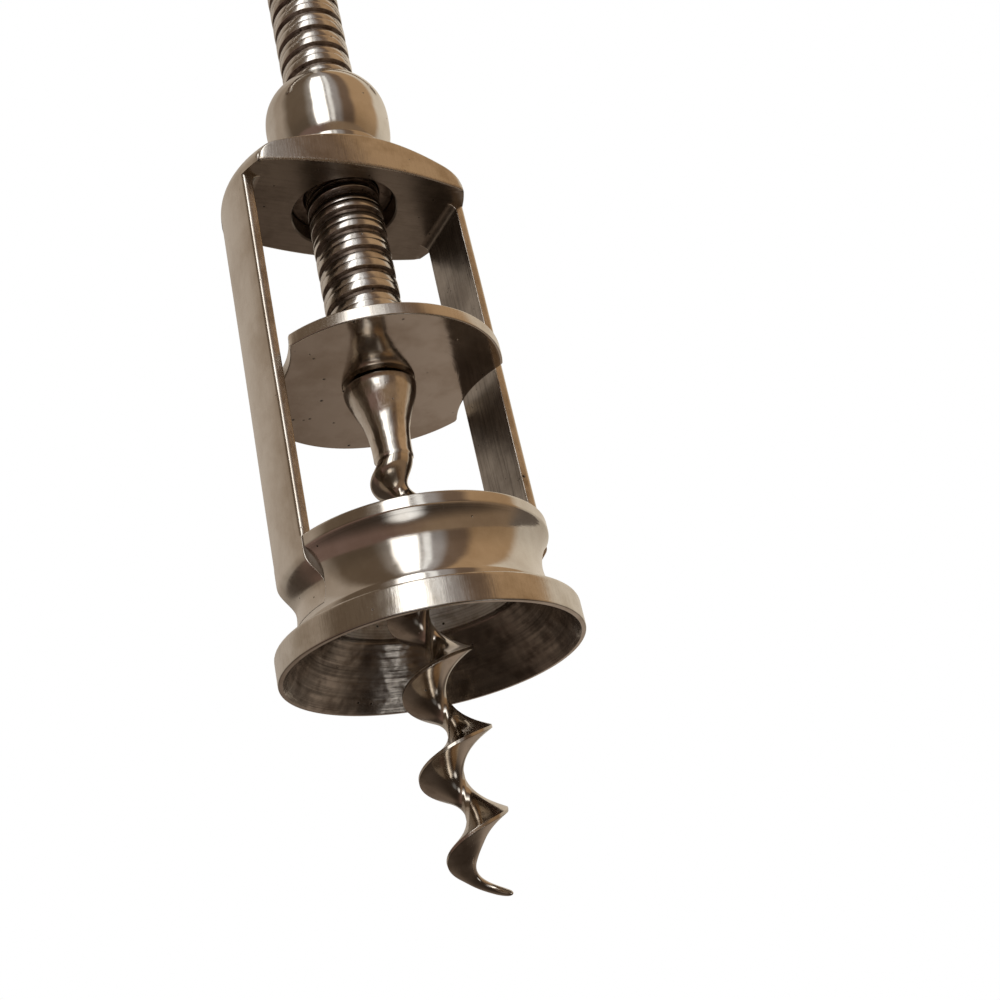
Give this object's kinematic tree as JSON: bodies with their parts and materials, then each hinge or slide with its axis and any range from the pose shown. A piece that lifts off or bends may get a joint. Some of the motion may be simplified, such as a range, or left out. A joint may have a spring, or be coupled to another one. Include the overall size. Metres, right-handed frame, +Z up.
{
  "type": "open-frame corkscrew",
  "caption": "Open-frame corkscrew with a flared bell on two posts, a threaded spindle in a ball nut, a sliding guide plate, a bladed worm and a T-handle.",
  "frame": {"origin": "centre of the bell's mouth, in the plane of its rim", "axes": "+Z up the spindle towards the handle, +X from the left post to the right post"},
  "size_m": [0.1026, 0.0354, 0.1656],
  "materials": {
    "nickel_plate": "polished nickel plate, lightly worn",
    "plate_nickel": "polished nickel plate with small pits",
    "spindle_steel": "turned steel with dark grooves",
    "worm_steel": "forged and polished steel"
  },
  "bodies": {
    "frame": {"bell": "nickel_plate", "post_left": "nickel_plate", "post_right": "nickel_plate", "bridge": "nickel_plate", "ball_nut": "nickel_plate"},
    "guide": {"guide_plate": "plate_nickel"},
    "spindle": {"threaded_spindle": "spindle_steel", "worm": "worm_steel", "handle_hub": "nickel_plate", "hub_pin": "spindle_steel", "handle_bar": "nickel_plate", "knob_left": "nickel_plate", "knob_right": "nickel_plate"}
  },
  "joints": [
    {"name": "guide_slide", "type": "slide", "parent": "frame", "child": "guide", "axis": [0, 0, 1], "range_m": [-0.0229, 0.0254]},
    {"name": "spindle_turn", "type": "hinge", "parent": "guide", "child": "spindle", "pos_m": [0, 0, 0], "axis": [0, 0, 1], "range_deg": [-2575, 2855]}
  ],
  "couplings": [
    {"joint": "guide_slide", "follows": "spindle_turn", "m_per_rad": 0.0005093}
  ]
}
